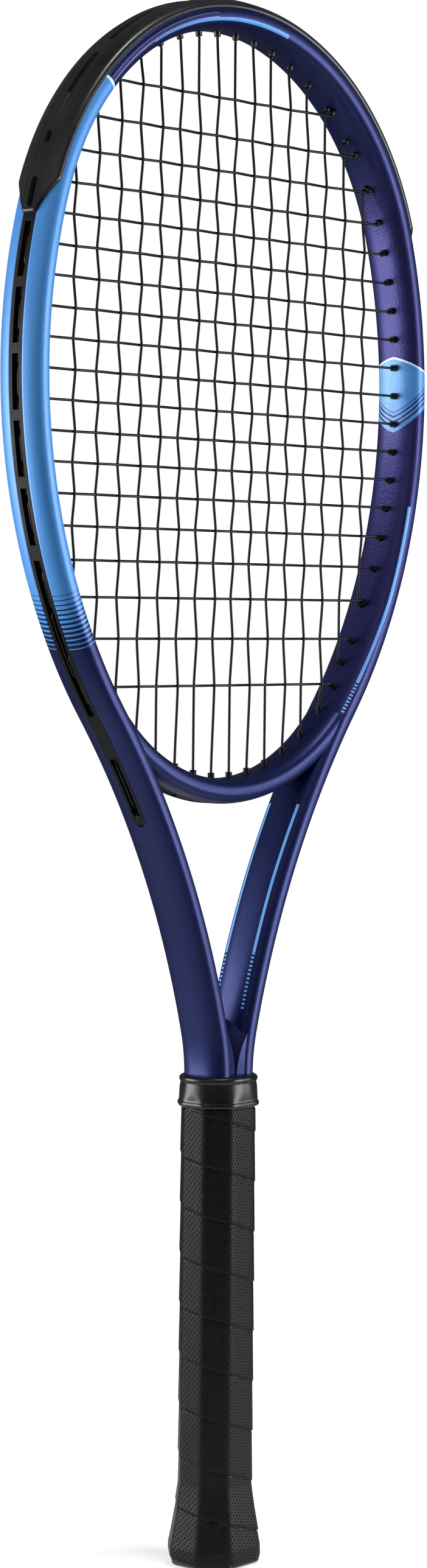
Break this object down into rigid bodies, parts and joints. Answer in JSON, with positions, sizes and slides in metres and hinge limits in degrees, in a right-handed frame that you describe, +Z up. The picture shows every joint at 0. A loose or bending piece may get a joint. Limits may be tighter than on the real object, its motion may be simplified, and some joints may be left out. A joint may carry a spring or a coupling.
{
  "type": "tennis racket",
  "caption": "Tennis racket with a hollow painted frame, open throat, woven string bed in grommet strips, head guard, wound octagonal grip, flared butt and a sliding rubber collar.",
  "frame": {"origin": "centre of the butt end's rim plane, where the racket stands on its butt", "axes": "+Z up the length of the racket from butt to head, X across the face in the plane of the strings, Y normal to the strings with the front face towards -Y"},
  "size_m": [0.2708, 0.037, 0.6922],
  "materials": {
    "painted_frame": "glossy navy paint over carbon composite, with light blue areas and a violet sheen",
    "guard_plastic": "satin black nylon",
    "string": "black glossy synthetic string",
    "handle_foam": "moulded foam core, hidden under the grip",
    "cap_plastic": "satin black plastic",
    "badge_plastic": "plain grey badge, bare",
    "steel_wire": "thin wire",
    "grip_leather": "black synthetic leather, rows of small perforations",
    "tape": "black finishing tape",
    "collar_rubber": "glossy black rubber"
  },
  "bodies": {
    "racket": {"frame_hairpin": "painted_frame", "throat_bridge": "painted_frame", "bumper_guard": "guard_plastic", "grommet_strip_left": "guard_plastic", "grommet_strip_right": "guard_plastic", "throat_strip": "guard_plastic", "main_string": "string", "cross_string": "string", "handle_pallet": "handle_foam", "butt_cap": "cap_plastic", "butt_badge": "badge_plastic", "butt_staples": "steel_wire", "grip_staple": "steel_wire", "base_grip": "grip_leather", "finishing_tape": "tape"},
    "collar": {"rubber_collar": "collar_rubber"}
  },
  "joints": [
    {"name": "collar_slide", "type": "slide", "parent": "racket", "child": "collar", "axis": [0, 0, 1], "range_m": [0, 0.014]}
  ]
}
